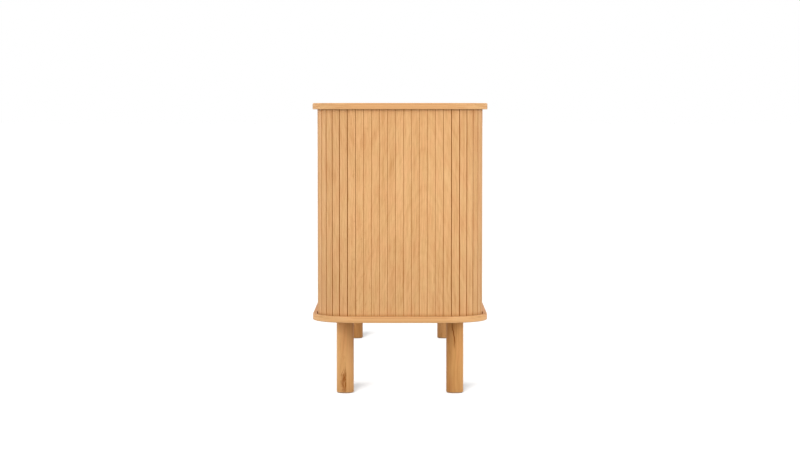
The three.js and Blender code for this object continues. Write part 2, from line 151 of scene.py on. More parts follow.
# Main places, read from the frame
base_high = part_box("base_slab")[1]
wrap_low, wrap_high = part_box("right_end_slats")
face_x = wrap_high.x
face_y = wrap_high.y
bend_x = face_x - BEND_RADIUS
bend_y = face_y - BEND_RADIUS
front_tail = bend_x - wrap_low.x
rear_tail = bend_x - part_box("back_panel")[1].x - FIT
root_radius = BEND_RADIUS - SLAT_THICKNESS
bend_length = root_radius * math.pi / 2
overhang = base_high.x - face_x
corner_radius = BEND_RADIUS + overhang


# Mesh helpers

def new_piece(name, mesh, body, materials, replaced):
    """A finished piece that rides on a body and stands for some CAD nodes."""
    piece = bpy.data.objects.new(name, mesh)
    bpy.context.scene.collection.objects.link(piece)
    for material in materials:
        mesh.materials.append(material)
    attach(piece, body)
    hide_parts(*replaced)
    return piece


def mesh_from(bm, name):
    mesh = bpy.data.meshes.new(name)
    bm.to_mesh(mesh)
    bm.free()
    return mesh


def smooth_by_angle(piece, degrees=CRISP_TURN):
    """Round places shade smoothly, corners stay crisp, and flat faces stay flat."""
    for polygon in piece.data.polygons:
        polygon.use_smooth = True
    piece.data.set_sharp_from_angle(angle=math.radians(degrees))
    weighted = piece.modifiers.new("even shading", "WEIGHTED_NORMAL")
    weighted.keep_sharp = True


def box_matrix(low, high):
    low, high = Vector(low), Vector(high)
    return Matrix.Translation((low + high) / 2) @ Matrix.Diagonal((*(high - low), 1))


def rise(edge):
    return abs(edge.verts[0].co.z - edge.verts[1].co.z)


def bevel(bm, edges, offset, segments):
    bmesh.ops.bevel(
        bm, geom=edges, offset=offset, segments=segments, profile=0.5, affect="EDGES", material=-1
    )


def verts_in(geometry):
    return [g for g in geometry if isinstance(g, bmesh.types.BMVert)]


def edges_in(geometry):
    return [g for g in geometry if isinstance(g, bmesh.types.BMEdge)]


def faces_in(geometry):
    return [g for g in geometry if isinstance(g, bmesh.types.BMFace)]


def spun(profile, sides):
    """A shape turned about Z from (radius, height) points."""
    bm = bmesh.new()
    line = bmesh.ops.create_vert(bm, co=(profile[0][0], 0, profile[0][1]))["vert"]
    tip = line
    for (last_radius, last_height), (radius, height) in zip(profile, profile[1:]):
        tip = verts_in(bmesh.ops.extrude_vert_indiv(bm, verts=tip)["verts"])
        step = (radius - last_radius, 0, height - last_height)
        bmesh.ops.translate(bm, vec=step, verts=tip)
    bmesh.ops.spin(
        bm, geom=bm.verts[:] + bm.edges[:], angle=2 * math.pi, steps=sides, axis=(0, 0, 1),
        cent=(0, 0, 0), use_merge=True,
    )
    bmesh.ops.remove_doubles(bm, verts=bm.verts, dist=WELD)
    bmesh.ops.recalc_face_normals(bm, faces=bm.faces)
    return bm


# Material helpers

def srgb(red, green, blue):
    """A colour as it looks on a screen, from 0 to 255, as the shader's linear values."""
    def linear(value):
        value /= 255
        return value / 12.92 if value <= 0.04045 else ((value + 0.055) / 1.055) ** 2.4
    return (linear(red), linear(green), linear(blue), 1)


class Nodes:
    """Short ways to add and link the nodes of one material, or of the world."""

    def __init__(self, owner):
        owner.use_nodes = True
        self.owner = owner
        self.tree = owner.node_tree
        self.shader = self.tree.nodes.get("Principled BSDF")

    def link(self, value, socket):
        if isinstance(value, bpy.types.NodeSocket):
            self.tree.links.new(value, socket)
        else:
            socket.default_value = value

    def add(self, kind, inputs=(), **settings):
        node = self.tree.nodes.new("ShaderNode" + kind)
        for key, value in settings.items():
            setattr(node, key, value)
        for socket, value in dict(inputs).items():
            self.link(value, node.inputs[socket])
        return node

    def maths(self, operation, first, second=0.0, third=0.0):
        return self.add("Math", {0: first, 1: second, 2: third}, operation=operation).outputs[0]

    def vector_maths(self, operation, first, second=(0, 0, 0), output="Vector"):
        node = self.add("VectorMath", {0: first, 1: second}, operation=operation)
        return node.outputs[output]

    def vector(self, x, y, z=0.0):
        return self.add("CombineXYZ", {0: x, 1: y, 2: z}).outputs[0]

    def split(self, vector):
        return self.add("SeparateXYZ", {0: vector}).outputs

    def noise(self, vector, scale=1.0, detail=2.0, roughness=0.5):
        inputs = {"Vector": vector, "Scale": scale, "Detail": detail, "Roughness": roughness}
        return self.add("TexNoise", inputs).outputs[0]

    def streaks(self, place, sizes, detail=1.0):
        """Noise whose grains have the given sizes, in metres, along each coordinate."""
        shares = [self.maths("DIVIDE", part, size) for part, size in zip(place, sizes)]
        return self.noise(self.vector(*shares), 1.0, detail)

    def ramp(self, value, stops):
        node = self.add("ValToRGB", {0: value})
        elements = node.color_ramp.elements
        while len(elements) < len(stops):
            elements.new(0.5)
        for element, (position, colour) in zip(elements, stops):
            element.position = position
            element.color = colour
        return node.outputs[0]

    def remap(self, value, low, high, to_low=0.0, to_high=1.0):
        inputs = {0: value, 1: low, 2: high, 3: to_low, 4: to_high}
        return self.add("MapRange", inputs).outputs[0]

    def mix(self, factor, first, second, blend="MIX"):
        inputs = {0: factor, 6: first, 7: second}
        return self.add("Mix", inputs, data_type="RGBA", blend_type=blend).outputs[2]

    def centred(self, noise):
        """Noise moved to lie about nought."""
        return self.maths("SUBTRACT", noise, 0.5)

    def varied(self, value, reach, base):
        """A base that rises by the reach times the value."""
        return self.maths("MULTIPLY_ADD", value, reach, base)

    def total(self, weighted):
        """The sum of values, each times its weight."""
        result = 0.0
        for value, weight in weighted:
            result = self.varied(value, weight, result)
        return result

    def place(self):
        return self.add("TexCoord").outputs["Object"]

    def seen(self):
        """1 for what the camera sees, straight or in a shine, and 0 for the light on the object."""
        rays = self.add("LightPath").outputs
        shine = self.maths("MAXIMUM", rays["Is Glossy Ray"], rays["Is Transmission Ray"])
        return self.maths("MAXIMUM", rays["Is Camera Ray"], shine)

    def finish(self, colour, roughness, height, relief):
        """The material with its colour, its roughness, and a height that shows as fine relief."""
        self.link(colour, self.shader.inputs["Base Color"])
        self.link(roughness, self.shader.inputs["Roughness"])
        bump = self.add("Bump", {"Height": height, "Distance": relief, "Strength": 1.0})
        self.link(bump.outputs[0], self.shader.inputs["Normal"])
        return self.owner


def material_nodes(name):
    return Nodes(bpy.data.materials.new(name))


# Oak

GRAIN_MAP = "grain"
TINT_LAYER = "tint"

PALE_OAK = srgb(236, 187, 133)
MID_OAK = srgb(224, 173, 118)
DEEP_OAK = srgb(206, 150, 95)
PORE_OAK = srgb(170, 112, 62)
KNOT_BROWN = srgb(148, 80, 8)
NO_TINT = (1, 1, 1, 1)
ROSY_TINT = (1.0, 0.965, 0.955, 1)
STRAW_TINT = (0.99, 1.006, 0.985, 1)
DULL_TINT = (0.975, 0.965, 0.95, 1)
BRIGHT_TINT = (1.015, 1.018, 1.012, 1)
PANEL_SHADE = (0.97, 0.955, 0.93, 1)

# Painted shade: the slats darken a little down their lower part, and more right above the base
# board
LOW_SLAT_PAINTED_SHADE = (0.9, 0.9, 0.9, 1)
LOW_SLAT_REACH = 250 * MM
SLAT_FOOT_PAINTED_SHADE = (0.78, 0.68, 0.54, 1)
SLAT_FOOT_REACH = 8 * MM

# Painted shade: the legs darken towards the floor
LEG_FOOT_PAINTED_SHADE = (0.82, 0.8, 0.76, 1)
LEG_FOOT_REACH = 110 * MM

# Sizes of the wood's own marks, across and along the grain
BELT = (420 * MM, 100 * MM)
CLOUD = (46 * MM, 400 * MM)
STREAK = (6 * MM, 220 * MM)
FIBRE = (2.6 * MM, 70 * MM)
HAIR = (0.9 * MM, 28 * MM)
PORE = (0.5 * MM, 13 * MM)
FLECK = (9 * MM, 15 * MM)
BLUSH = (24 * MM, 70 * MM)
RIPPLE = (11 * MM, 60 * MM)
SWAY = (200 * MM, 750 * MM)
SWAY_REACH = 45 * MM
RIPPLE_REACH = 8 * MM
ARCH_LENGTH = 260 * MM
QUARTER = (100 * MM, 160 * MM)

# How much each kind of mark adds to a veneer's depth of tone
BELT_WEIGHT = 0.12
CLOUD_WEIGHT = 0.26
STREAK_WEIGHT = 0.5
FIBRE_WEIGHT = 0.7
HAIR_WEIGHT = 0.45
FLECK_WEIGHT = 0.3

# The values of its noise between which each mark fades in
PORE_RANGE = (0.6, 0.74)
FLECK_RANGE = (0.6, 0.72)
BLUSH_RANGE = (0.38, 0.62)

# Satin lacquer: its gloss, how much duller pores and deep tones are, and how far the pores show
LACQUER_SPECULAR = 0.2
LACQUER_ROUGHNESS = 0.46
PORE_DULLNESS = 0.16
DEEP_DULLNESS = 0.1
PORE_SHARE = 0.2
DEEP_SINK = 0.35
OAK_RELIEF = 0.12 * MM


def oak_figure(n, across, along, leaf, slope, apex, ring, lines, spread, broad=1.0):
    """How deep the wood's tone is, from 0 for pale to 1, how rosy it is, and its open pores.

    leaf is the width of one veneer leaf, slope how steeply the arches of its figure rise, apex how
    round their tops are, ring how far apart their lines stand, and lines how dark they are. The
    smaller the spread is, the livelier the wood looks. broad is the share of its wide clouds."""
    sway = n.centred(n.streaks((across, along, 0.0), (*SWAY, 1.0), 2.0))
    swayed = n.varied(sway, SWAY_REACH, across)

    def marks(size, detail=1.0):
        return n.streaks((swayed, along, 0.0), (*size, 1.0), detail)

    side = n.maths("PINGPONG", n.maths("ADD", swayed, leaf / 2), leaf)
    flank = n.maths("SUBTRACT", side, leaf / 2)
    far = n.maths("SQRT", n.maths("MULTIPLY_ADD", flank, flank, apex * apex))
    ripple = n.centred(marks(RIPPLE, 2.0))
    contour = n.total([(along, 1 / slope), (far, 1.0), (ripple, RIPPLE_REACH)])
    weighted = [
        (n.streaks((contour, along, 0.0), (ring, ARCH_LENGTH, 1.0), 2.0), lines),
        (marks(BELT), BELT_WEIGHT * broad),
        (marks(CLOUD, 3.0), CLOUD_WEIGHT * broad),
        (marks(STREAK, 2.0), STREAK_WEIGHT),
        (marks(FIBRE, 2.0), FIBRE_WEIGHT),
        (marks(HAIR), HAIR_WEIGHT),
    ]
    middle = sum(weight for _, weight in weighted) / 2
    deep = n.remap(n.total(weighted), middle - spread, middle + spread)
    flecks = n.remap(marks(FLECK, 2.0), *FLECK_RANGE)
    quarter = n.remap(n.maths("ABSOLUTE", flank), *QUARTER)
    deep = n.varied(n.maths("MULTIPLY", flecks, quarter), FLECK_WEIGHT, deep)
    rosy = n.remap(marks(BLUSH, 2.0), *BLUSH_RANGE)
    pores = n.remap(marks(PORE), *PORE_RANGE)
    return deep, rosy, pores


def oak_finish(n, marks, shade=None, spots=None, tint=None):
    """Colour, sheen and relief of satin lacquered oak."""
    deep, rosy, pores = marks
    colour = n.ramp(deep, [(0.0, PALE_OAK), (0.5, MID_OAK), (1.0, DEEP_OAK)])
    colour = n.mix(1.0, colour, n.mix(rosy, STRAW_TINT, ROSY_TINT), "MULTIPLY")
    if tint is not None:
        tones = [(0.0, DULL_TINT), (0.5, NO_TINT), (1.0, BRIGHT_TINT)]
        colour = n.mix(1.0, colour, n.ramp(tint, tones), "MULTIPLY")
    colour = n.mix(n.maths("MULTIPLY", pores, PORE_SHARE), colour, PORE_OAK)
    # The shade holds the wood's own tone, painted shade, or both
    if shade is not None:
        colour = n.mix(1.0, colour, shade, "MULTIPLY")
    if spots is not None:
        colour = n.mix(spots, colour, KNOT_BROWN)
    n.shader.inputs["Specular IOR Level"].default_value = LACQUER_SPECULAR
    dullness = [(pores, PORE_DULLNESS), (deep, DEEP_DULLNESS), (1.0, LACQUER_ROUGHNESS)]
    height = n.varied(deep, reach=-DEEP_SINK, base=n.maths("SUBTRACT", 1.0, pores))
    return n.finish(colour, n.total(dullness), height, OAK_RELIEF)


def painted_shade_downwards(n, height, low, reach, tone, shade=NO_TINT):
    """Painted shade that takes on a tone downwards, over the reach above its lowest height."""
    return n.mix(1.0, shade, n.mix(n.remap(height, low, low + reach), tone, NO_TINT), "MULTIPLY")


def mapped_oak(name, tinted_with_painted_shade=False, **figure):
    """Oak veneer that follows a piece's own grain map. Slat oak also takes each slat's own tone,
    and painted shade that darkens it downwards."""
    n = material_nodes(name)
    across, along, _ = n.split(n.add("UVMap", uv_map=GRAIN_MAP).outputs[0])
    marks = oak_figure(n, across, along, **figure)
    if not tinted_with_painted_shade:
        return oak_finish(n, marks)
    tint = n.add("Attribute", attribute_name=TINT_LAYER).outputs["Fac"]
    # Painted shade: darker down the slats' lower part, and a painted contact shadow right above the
    # base board
    shade = painted_shade_downwards(n, along, base_high.z, LOW_SLAT_REACH, LOW_SLAT_PAINTED_SHADE)
    shade = painted_shade_downwards(n, along, base_high.z, SLAT_FOOT_REACH, SLAT_FOOT_PAINTED_SHADE, shade)
    return oak_finish(n, marks, shade, tint=tint)


def panel_oak(name, along_axis, **figure):
    """Oak veneer on flat boards, with its grain along one axis of the sideboard."""
    n = material_nodes(name)
    place = n.split(n.place())
    first, second = [place[i] for i in range(3) if i != along_axis]
    across = n.maths("ADD", first, second)
    return oak_finish(n, oak_figure(n, across, place[along_axis], **figure), PANEL_SHADE)


# Knots: how much steeper one side is than the other, how they waver, and the sizes of the flames
# and tongues in them
KNOT_LEAN = 5
KNOT_WAVE = 11 * MM
KNOT_WAVE_REACH = 9 * MM
FLAME = (2.4 * MM, 14 * MM)
FLAME_REACH = 1.6
TONGUE = (2.6 * MM, 18 * MM)
TONGUE_RANGE = (0.42, 0.58)
TONGUE_SHARE = 0.5
KNOT_RANGE = (1.25, 0.8)

# How near to a knot the rings start to bend round it, and how far they do
BEND_RANGE = (2.6, 0.6)
BEND_REACH = 3 * MM

# Cracks: how they waver, and which parts of their length the lean and the faint ends take up
CRACK_WAVE = 12 * MM
CRACK_WAVE_REACH = 4 * MM
CRACK_LEAN_SPAN = (0.2, 0.65)
CRACK_FAINT_TOP = 1 / 3
CRACK_FAINT_FOOT = 0.7
CRACK_TOP_SHARE = 0.45
CRACK_SHARE = 0.95


def knot(n, place, centre, half_width, half_height, depth):
    """A dark flame in the wood, steep on one side and wavy on the other, and how far a point is
    from it."""
    _, across, up = n.split(n.vector_maths("SUBTRACT", place, centre))
    wave = n.centred(n.streaks((up, 0.0, 0.0), (KNOT_WAVE, 1.0, 1.0), 2.0))
    swayed = n.varied(wave, KNOT_WAVE_REACH, across)
    wavy = n.maths("DIVIDE", swayed, -half_width)
    steep = n.maths("DIVIDE", across, half_width / KNOT_LEAN)
    level = n.maths("MAXIMUM", wavy, steep)
    upright = n.maths("DIVIDE", up, half_height)
    far = n.vector_maths("LENGTH", n.vector(level, upright), output="Value")
    flame = n.centred(n.streaks((swayed, up, 0.0), (*FLAME, 1.0), 2.0))
    far = n.varied(flame, FLAME_REACH, far)
    tongues = n.streaks((swayed, up, 0.0), (*TONGUE, 1.0))
    lively = n.remap(tongues, *TONGUE_RANGE, TONGUE_SHARE, 1.0)
    inside = n.maths("MULTIPLY", n.remap(far, *KNOT_RANGE), lively)
    return n.maths("MULTIPLY", inside, depth), far


def crack(n, place, top, lean, length, width):
    """A thin dark line that runs down from its top, leans to one side and is faint at its ends."""
    _, across, up = n.split(n.vector_maths("SUBTRACT", place, top))
    down = n.maths("MULTIPLY", up, -1.0)
    wave = n.centred(n.streaks((up, 0.0, 0.0), (CRACK_WAVE, 1.0, 1.0), 2.0))
    start, stop = CRACK_LEAN_SPAN
    jog = n.remap(down, length * start, length * stop, 0.0, lean)
    line = n.varied(wave, CRACK_WAVE_REACH, jog)
    side = n.maths("ABSOLUTE", n.maths("SUBTRACT", across, line))
    narrow = n.remap(side, width, width / 4)
    top_end = n.remap(down, 0.0, length * CRACK_FAINT_TOP, CRACK_TOP_SHARE, 1.0)
    foot_end = n.remap(down, length, length * CRACK_FAINT_FOOT)
    return n.maths("MULTIPLY", narrow, n.maths("MULTIPLY", foot_end, top_end))


# Solid oak: its rings, the pith that they run round, and the sizes of its own marks
RING_WIDTH = 3.4 * MM
PITH_OFFSET = Vector((-70 * MM, 26 * MM, 0))
SOLID_SWAY = (120 * MM, 260 * MM)
SOLID_SWAY_REACH = 14 * MM
SOLID_CLOUD = (26 * MM, 160 * MM)
SOLID_BLUSH = (14 * MM, 90 * MM)
SOLID_BLUSH_RANGE = (0.4, 0.6)
SOLID_DEPTH_RANGE = (0.52, 1.2)
RAY_WIDTH = 20 * MM

# How fast a ring's dark line fades, and how faint the rings are in the palest clouds
RING_FADE = 3.0
RING_CLOUD_RANGE = (0.3, 0.65)
FAINT_RING = 0.3

# How much each kind of mark adds to solid oak's depth of tone
RING_WEIGHT = 0.3
SOLID_CLOUD_WEIGHT = 0.6
SOLID_STREAK_WEIGHT = 0.45
SOLID_FIBRE_WEIGHT = 0.4
SOLID_HAIR_WEIGHT = 0.2


def growth_lines(n, phase, strength):
    """Dark lines that start sharply at each whole number of the phase and fade after it."""
    left = n.maths("SUBTRACT", 1.0, n.maths("FRACT", phase))
    return n.maths("MULTIPLY", n.maths("POWER", left, RING_FADE), strength)


def solid_oak(name, centre, shade, eyes=(), cracks=(), foot_reach=0.0):
    """Turned or sawn oak with its grain upright and its rings about a pith outside the piece."""
    n = material_nodes(name)
    place = n.place()
    x, y, z = n.split(place)

    def marks(size, detail=1.0):
        return n.streaks((x, y, z), (size[0], size[0], size[1]), detail)

    spots = 0.0
    bend = 0.0
    for eye in eyes:
        spot, far = knot(n, place, *eye)
        spots = n.maths("MAXIMUM", spots, spot)
        bend = n.varied(n.remap(far, *BEND_RANGE), BEND_REACH, bend)
    for sizes in cracks:
        spot = n.maths("MULTIPLY", crack(n, place, *sizes), CRACK_SHARE)
        spots = n.maths("MAXIMUM", spots, spot)
    pith = Vector((centre.x, centre.y, 0)) + PITH_OFFSET
    from_pith = n.vector_maths("SUBTRACT", n.vector(x, y), pith)
    reach = n.vector_maths("LENGTH", from_pith, output="Value")
    reach = n.total([(marks(SOLID_SWAY, 2.0), SOLID_SWAY_REACH), (reach, 1.0), (bend, 1.0)])
    cloud = marks(SOLID_CLOUD, 2.0)
    strength = n.remap(cloud, *RING_CLOUD_RANGE, FAINT_RING, 1.0)
    streak = n.streaks((reach, y, z), (STREAK[0], RAY_WIDTH, STREAK[1]), 2.0)
    figure = n.total([
        (growth_lines(n, n.maths("DIVIDE", reach, RING_WIDTH), strength), RING_WEIGHT),
        (cloud, SOLID_CLOUD_WEIGHT),
        (streak, SOLID_STREAK_WEIGHT),
        (marks(FIBRE, 2.0), SOLID_FIBRE_WEIGHT),
        (marks(HAIR), SOLID_HAIR_WEIGHT),
    ])
    deep = n.remap(figure, *SOLID_DEPTH_RANGE)
    rosy = n.remap(marks(SOLID_BLUSH, 2.0), *SOLID_BLUSH_RANGE)
    pores = n.remap(marks(PORE), *PORE_RANGE)
    # Painted shade that darkens the leg towards the floor
    if foot_reach > 0:
        shade = painted_shade_downwards(n, z, 0.0, foot_reach, LEG_FOOT_PAINTED_SHADE, shade)
    return oak_finish(n, (deep, rosy, pores), shade, spots)


# Other finishes

PLY_FIBRE = (3.3 * MM, 140 * MM)
SCRATCH = (1.1 * MM, 70 * MM)
GRIME_TONE = 0.82


def plywood(name):
    """Raw plywood with a dry, pale face."""
    n = material_nodes(name)
    sizes = (PLY_FIBRE[0], PLY_FIBRE[0], PLY_FIBRE[1])
    streaks = n.streaks(n.split(n.place()), sizes, detail=3.0)
    colour = n.ramp(streaks, [(0.3, srgb(205, 165, 118)), (0.6, srgb(222, 186, 140))])
    return n.finish(colour, n.varied(streaks, reach=0.2, base=0.6), streaks, relief=0.2 * MM)


def raw_core(name, dark, light):
    """A board's raw core, as it shows in grooves and on sawn sides."""
    n = material_nodes(name)
    dust = n.noise(n.place(), scale=700.0, detail=4.0, roughness=0.7)
    colour = n.ramp(dust, [(0.3, dark), (0.7, light)])
    return n.finish(colour, n.varied(dust, reach=0.1, base=0.85), dust, relief=0.2 * MM)


def backing_cloth(name):
    """The glued brown cloth behind the slats."""
    n = material_nodes(name)
    place = n.add("UVMap", uv_map=GRAIN_MAP).outputs[0]
    weave = n.add("TexChecker", {"Vector": place, "Scale": 1400.0}).outputs[1]
    fluff = n.noise(place, scale=900.0)
    height = n.varied(weave, reach=0.5, base=fluff)
    colour = n.ramp(height, [(0.2, srgb(190, 108, 18)), (0.9, srgb(214, 134, 36))])
    return n.finish(colour, n.varied(fluff, reach=0.2, base=0.75), height, relief=0.2 * MM)


def metal(name, colour, roughness, along_axis):
    """Metal with fine marks along one axis and a little grime."""
    n = material_nodes(name)
    sizes = [SCRATCH[0]] * 3
    sizes[along_axis] = SCRATCH[1]
    marks = n.streaks(n.split(n.place()), sizes, detail=2.0)
    grime = n.noise(n.place(), scale=60.0, detail=3.0)
    dull = [GRIME_TONE * channel for channel in colour[:3]] + [1]
    n.shader.inputs["Metallic"].default_value = 1.0
    shown = n.ramp(grime, [(0.35, dull), (0.6, colour)])
    gloss = n.varied(marks, reach=0.2, base=roughness - 0.1)
    return n.finish(shown, gloss, marks, relief=0.04 * MM)


def nylon(name, dark, light, roughness):
    """Moulded nylon with a faint grain and slightly uneven gloss."""
    n = material_nodes(name)
    cloud = n.noise(n.place(), scale=90.0, detail=3.0)
    stipple = n.noise(n.place(), scale=2600.0, detail=1.0)
    shown = n.ramp(cloud, [(0.35, dark), (0.65, light)])
    gloss = n.varied(cloud, reach=0.14, base=roughness - 0.07)
    return n.finish(shown, gloss, stipple, relief=0.03 * MM)


def felt(name):
    """Pressed felt: short tangled fibres in two tones."""
    n = material_nodes(name)
    fibres = n.noise(n.place(), scale=1800.0, detail=4.0, roughness=0.7)
    shown = n.ramp(fibres, [(0.3, srgb(150, 124, 100)), (0.7, srgb(190, 164, 138))])
    n.shader.inputs["Sheen Weight"].default_value = 0.3
    return n.finish(shown, n.varied(fibres, reach=0.1, base=0.88), fibres, relief=0.4 * MM)


slat_oak = mapped_oak(
    "slat oak", tinted_with_painted_shade=True, leaf=340 * MM, slope=2.5, apex=25 * MM, ring=8 * MM, lines=0.28,
    spread=0.27,
)
board_oak = mapped_oak(
    "board oak", leaf=300 * MM, slope=16.0, apex=12 * MM, ring=9 * MM, lines=0.8, spread=0.32
)
rim_oak = mapped_oak(
    "board edge oak", leaf=60 * MM, slope=30.0, apex=6 * MM, ring=4 * MM, lines=0.4, spread=0.24,
    broad=0.3,
)
upright_oak = panel_oak(
    "upright panel oak", along_axis=2, leaf=230 * MM, slope=12.0, apex=10 * MM, ring=9 * MM,
    lines=0.8, spread=0.32,
)
level_oak = panel_oak(
    "level panel oak", along_axis=0, leaf=269 * MM, slope=16.0, apex=12 * MM, ring=9 * MM,
    lines=0.8, spread=0.32,
)
core = raw_core("board core", srgb(138, 70, 14), srgb(160, 88, 26))
sawn_side = raw_core("slats' sawn sides", srgb(166, 92, 6), srgb(192, 114, 16))
cloth = backing_cloth("backing cloth")
bent_ply = plywood("bent plywood")
aluminium = metal("anodised aluminium", srgb(190, 192, 194), roughness=0.34, along_axis=0)
zinc = metal("zinc plated steel", srgb(172, 174, 178), roughness=0.36, along_axis=2)
nickel = metal("nickel plated steel", srgb(188, 186, 180), roughness=0.28, along_axis=0)
black_nylon = nylon("black nylon", srgb(26, 26, 27), srgb(38, 38, 39), roughness=0.5)
white_nylon = nylon("white nylon", srgb(214, 213, 208), srgb(226, 225, 221), roughness=0.42)
pad_felt = felt("foot felt")


# Slatted sheets

# How far the middle of the veneer's figure lies behind the middle of the end
FIGURE_SHIFT = 62 * MM

# A sheet's finishes, in the order of its material slots
SLAT_FACE, SLAT_CLOTH, SLAT_SIDE = range(3)


def slat_mesh(pitch, bottom, top):
    """One slat, centred on X, with its root on the X axis and its face towards +Y."""
    root = pitch - ROOT_GAP
    front = pitch - FACE_GAP
    bm = bmesh.new()
    whole = box_matrix((-root / 2, 0, bottom), (root / 2, SLAT_THICKNESS, top))
    bmesh.ops.create_cube(bm, size=1, matrix=whole)
    outer = [v for v in bm.verts if v.co.y > SLAT_THICKNESS / 2]
    bmesh.ops.scale(bm, vec=(front / root, 1, 1), verts=outer)
    long_edges = [e for e in bm.edges if rise(e) > pitch and all(v in outer for v in e.verts)]
    bevel(bm, long_edges, SLAT_EDGE, SLAT_EDGE_STEPS)
    bm.normal_update()
    for face in bm.faces:
        face.material_index = SLAT_SIDE if abs(face.normal.x) > SIDE_FACING else SLAT_FACE
    return mesh_from(bm, "slat")


def sheet_mesh():
    bm = bmesh.new()
    bm.loops.layers.uv.new(GRAIN_MAP)
    bm.faces.layers.float.new(TINT_LAYER)
    return bm


def add_slat(bm, template, place, run, tint):
    """Stamps a slat at its place, with its grain and its own tone."""
    first_face = len(bm.faces)
    first_vert = len(bm.verts)
    bm.from_mesh(template)
    bm.faces.ensure_lookup_table()
    bm.verts.ensure_lookup_table()
    grain_map = bm.loops.layers.uv[GRAIN_MAP]
    tint_layer = bm.faces.layers.float[TINT_LAYER]
    for face in bm.faces[first_face:]:
        face[tint_layer] = tint
        for loop in face.loops:
            loop[grain_map].uv = (run + loop.vert.co.x, loop.vert.co.z)
    bmesh.ops.transform(bm, matrix=place, verts=bm.verts[first_vert:])


def add_backing(bm, line, bottom, top):
    """A thin wall of cloth behind the slats, along a line of plan points."""
    first_face = len(bm.faces)
    start = bmesh.ops.create_vert(bm, co=(*line[0], bottom))["vert"]
    strip = bmesh.ops.extrude_vert_indiv(bm, verts=start)
    bmesh.ops.translate(bm, vec=(0, 0, top - bottom), verts=strip["verts"])
    edges = strip["edges"]
    for last, point in zip(line, line[1:]):
        grown = bmesh.ops.extrude_edge_only(bm, edges=edges)["geom"]
        step = (point[0] - last[0], point[1] - last[1], 0)
        bmesh.ops.translate(bm, vec=step, verts=verts_in(grown))
        edges = [edge for edge in edges_in(grown) if rise(edge) > BACKING_THICKNESS]
    bm.faces.ensure_lookup_table()
    bmesh.ops.solidify(bm, geom=bm.faces[first_face:], thickness=BACKING_THICKNESS)
    bm.faces.ensure_lookup_table()
    grain_map = bm.loops.layers.uv[GRAIN_MAP]
    for face in bm.faces[first_face:]:
        face.material_index = SLAT_CLOTH
        for loop in face.loops:
            loop[grain_map].uv = (loop.vert.co.x + loop.vert.co.y, loop.vert.co.z)


def finish_sheet(bm, name, body, node, ends):
    """Finishes a sheet's two outermost sides like its faces, and makes it a piece."""
    bm.normal_update()
    for face in bm.faces:
        place = face.calc_center_median().xy
        outermost = any((place - end).length < SLAT_THICKNESS for end in ends)
        if outermost and abs(face.normal.x) > SIDE_FACING:
            face.material_index = SLAT_FACE
    finishes = [slat_oak, cloth, sawn_side]
    piece = new_piece(name, mesh_from(bm, name), body, finishes, [node])
    smooth_by_angle(piece, SLAT_CRISP_TURN)


def root_point(run):
    """The plan point on the right end's root line at a distance round it from its middle."""
    side = math.copysign(1, run)
    length = abs(run)
    if length <= bend_y:
        return Vector((face_x - SLAT_THICKNESS, run))
    past = length - bend_y - bend_length
    if past >= 0:
        return Vector((bend_x - past, side * (face_y - SLAT_THICKNESS)))
    turn = (length - bend_y) / root_radius
    reach = bend_y + root_radius * math.sin(turn)
    return Vector((bend_x + root_radius * math.cos(turn), side * reach))


def end_point(side, run):
    """The same point on either end: side is 1 for the right end and -1 for the left."""
    point = root_point(run)
    return Vector((side * point.x, point.y))


def end_sheet(name, side, seed):
    """The slats that wrap one end, on the cloth that holds them."""
    node = name + "_end_slats"
    low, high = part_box(node)
    first = -(bend_y + bend_length + front_tail)
    last = bend_y + bend_length + rear_tail
    count = round((last - first) / SLAT_PITCH)
    pitch = (last - first) / count
    tones = random.Random(seed)
    template = slat_mesh(pitch, low.z, high.z)
    bm = sheet_mesh()
    for i in range(count):
        run = first + (i + 0.5) * pitch
        ends = [end_point(side, run - pitch / 2), end_point(side, run + pitch / 2)]
        along = (ends[1] - ends[0]) * side
        out = Vector((along.y, -along.x)).angle_signed(Vector((0, 1)))
        centre = (ends[0] + ends[1]) / 2
        place = Matrix.Translation((*centre, 0)) @ Matrix.Rotation(out, 4, "Z")
        add_slat(bm, template, place, FIGURE_SHIFT - run, tones.random())
    steps = count * BACKING_STEPS
    line = [end_point(side, first + (last - first) * i / steps) for i in range(steps + 1)]
    add_backing(bm, line[::side], low.z, high.z)
    finish_sheet(bm, name + "_end_slat_wrap", "carcass", node, [line[0], line[-1]])


def door_sheet(name, seed):
    """The slats on the front of one sliding door."""
    node = name + "_door_slats"
    low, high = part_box(node)
    count = round((high.x - low.x) / SLAT_PITCH)
    pitch = (high.x - low.x) / count
    tones = random.Random(seed)
    template = slat_mesh(pitch, low.z, high.z)
    root_y = low.y + SLAT_THICKNESS
    bm = sheet_mesh()
    for i in range(count):
        middle = low.x + (i + 0.5) * pitch
        place = Matrix.Translation((middle, root_y, 0)) @ Matrix.Rotation(math.pi, 4, "Z")
        add_slat(bm, template, place, -middle, tones.random())
    line = [Vector((high.x, root_y)), Vector((low.x, root_y))]
    add_backing(bm, line, low.z, high.z)
    finish_sheet(bm, name + "_door_slat_sheet", name + "_door", node, line)


# Top and base boards

# A board's finishes, in the order of its material slots
BOARD_FACE, BOARD_RIM, BOARD_SUNK = range(3)


def rim_run(point):
    """How far round a board's edge a point lies, for grain that runs along the edge."""
    corner_x, corner_y = base_high.x - corner_radius, base_high.y - corner_radius
    x, y = abs(point.x), abs(point.y)
    if x <= corner_x:
        run = x
    elif y <= corner_y:
        run = corner_x + corner_radius * math.pi / 2 + (corner_y - y)
    else:
        run = corner_x + corner_radius * math.atan2(x - corner_x, y - corner_y)
    return math.copysign(run, point.x)


def edge_distance(point):
    """How far in from a board's outline a point lies."""
    dx = abs(point.x) - (base_high.x - corner_radius)
    dy = abs(point.y) - (base_high.y - corner_radius)
    if dx > 0 and dy > 0:
        return corner_radius - math.hypot(dx, dy)
    return corner_radius - max(dx, dy)


